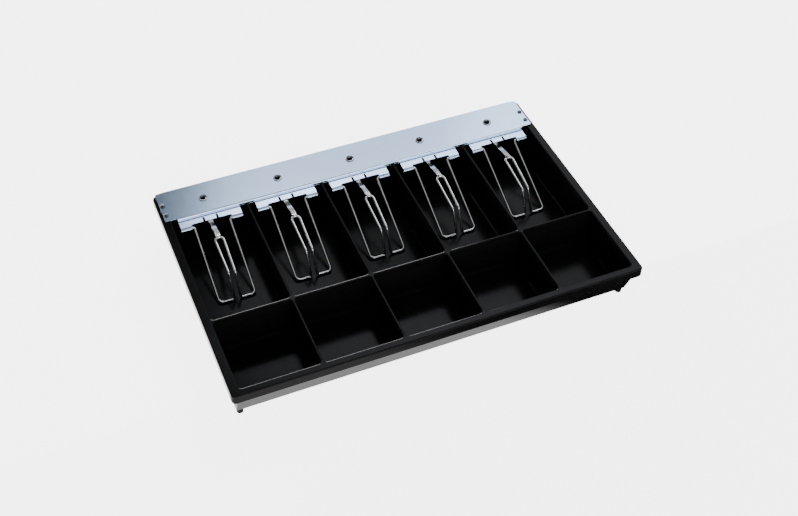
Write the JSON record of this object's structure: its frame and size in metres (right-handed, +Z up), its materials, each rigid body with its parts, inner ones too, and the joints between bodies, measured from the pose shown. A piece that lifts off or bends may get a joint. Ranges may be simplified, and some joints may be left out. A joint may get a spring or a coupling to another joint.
{
  "type": "cash drawer till insert",
  "caption": "Till insert for a cash drawer: moulded tray with note bays and coin cups, a plated hold-down bracket, and sprung wire note clips that hinge up.",
  "frame": {"origin": "under the centre of the tray, on the surface that its feet stand on", "axes": "+X to the right along the row of bays, +Y to the back where the bracket is, +Z up"},
  "size_m": [0.384, 0.2569, 0.0478],
  "materials": {
    "tray_plastic": "moulded black plastic, fine satin texture, glossy on the rim",
    "bracket_steel": "bright blue-white zinc plating over rolled steel strip",
    "clip_wire": "bright nickel-plated spring wire",
    "leaf_steel": "bright rolled spring strip",
    "eyelet_steel": "plated steel eyelet",
    "screw_steel": "dark passivated steel",
    "foot_rubber": "matte black rubber"
  },
  "bodies": {
    "till": {"tray": "tray_plastic", "hold_down_bracket": "bracket_steel", "leaf_spring_1": "leaf_steel", "leaf_spring_2": "leaf_steel", "leaf_spring_3": "leaf_steel", "leaf_spring_4": "leaf_steel", "leaf_spring_5": "leaf_steel", "spring_eyelet_1": "eyelet_steel", "spring_eyelet_2": "eyelet_steel", "spring_eyelet_3": "eyelet_steel", "spring_eyelet_4": "eyelet_steel", "spring_eyelet_5": "eyelet_steel", "bracket_screw_left_front": "screw_steel", "bracket_screw_left_rear": "screw_steel", "bracket_screw_right_front": "screw_steel", "bracket_screw_right_rear": "screw_steel", "foot_front_left": "foot_rubber", "foot_rear_left": "foot_rubber", "foot_front_right": "foot_rubber", "foot_rear_right": "foot_rubber"},
    "clip_1": {"bill_clip_1": "clip_wire"},
    "clip_2": {"bill_clip_2": "clip_wire"},
    "clip_3": {"bill_clip_3": "clip_wire"},
    "clip_4": {"bill_clip_4": "clip_wire"},
    "clip_5": {"bill_clip_5": "clip_wire"}
  },
  "joints": [
    {"name": "clip_1_lift", "type": "hinge", "parent": "till", "child": "clip_1", "pos_m": [-0.148, 0.0783, 0.04015], "axis": [-1, 0, 0], "range_deg": [0, 65], "stiffness_Nm_per_rad": 0.04, "springref_deg": -34.38, "deforming": ["leaf_spring_1"]},
    {"name": "clip_2_lift", "type": "hinge", "parent": "till", "child": "clip_2", "pos_m": [-0.074, 0.0783, 0.04015], "axis": [-1, 0, 0], "range_deg": [0, 65], "stiffness_Nm_per_rad": 0.04, "springref_deg": -34.38, "deforming": ["leaf_spring_2"]},
    {"name": "clip_3_lift", "type": "hinge", "parent": "till", "child": "clip_3", "pos_m": [0, 0.0783, 0.04015], "axis": [-1, 0, 0], "range_deg": [0, 65], "stiffness_Nm_per_rad": 0.04, "springref_deg": -34.38, "deforming": ["leaf_spring_3"]},
    {"name": "clip_4_lift", "type": "hinge", "parent": "till", "child": "clip_4", "pos_m": [0.074, 0.0783, 0.04015], "axis": [-1, 0, 0], "range_deg": [0, 65], "stiffness_Nm_per_rad": 0.04, "springref_deg": -34.38, "deforming": ["leaf_spring_4"]},
    {"name": "clip_5_lift", "type": "hinge", "parent": "till", "child": "clip_5", "pos_m": [0.148, 0.0783, 0.04015], "axis": [-1, 0, 0], "range_deg": [0, 65], "stiffness_Nm_per_rad": 0.04, "springref_deg": -34.38, "deforming": ["leaf_spring_5"]}
  ]
}
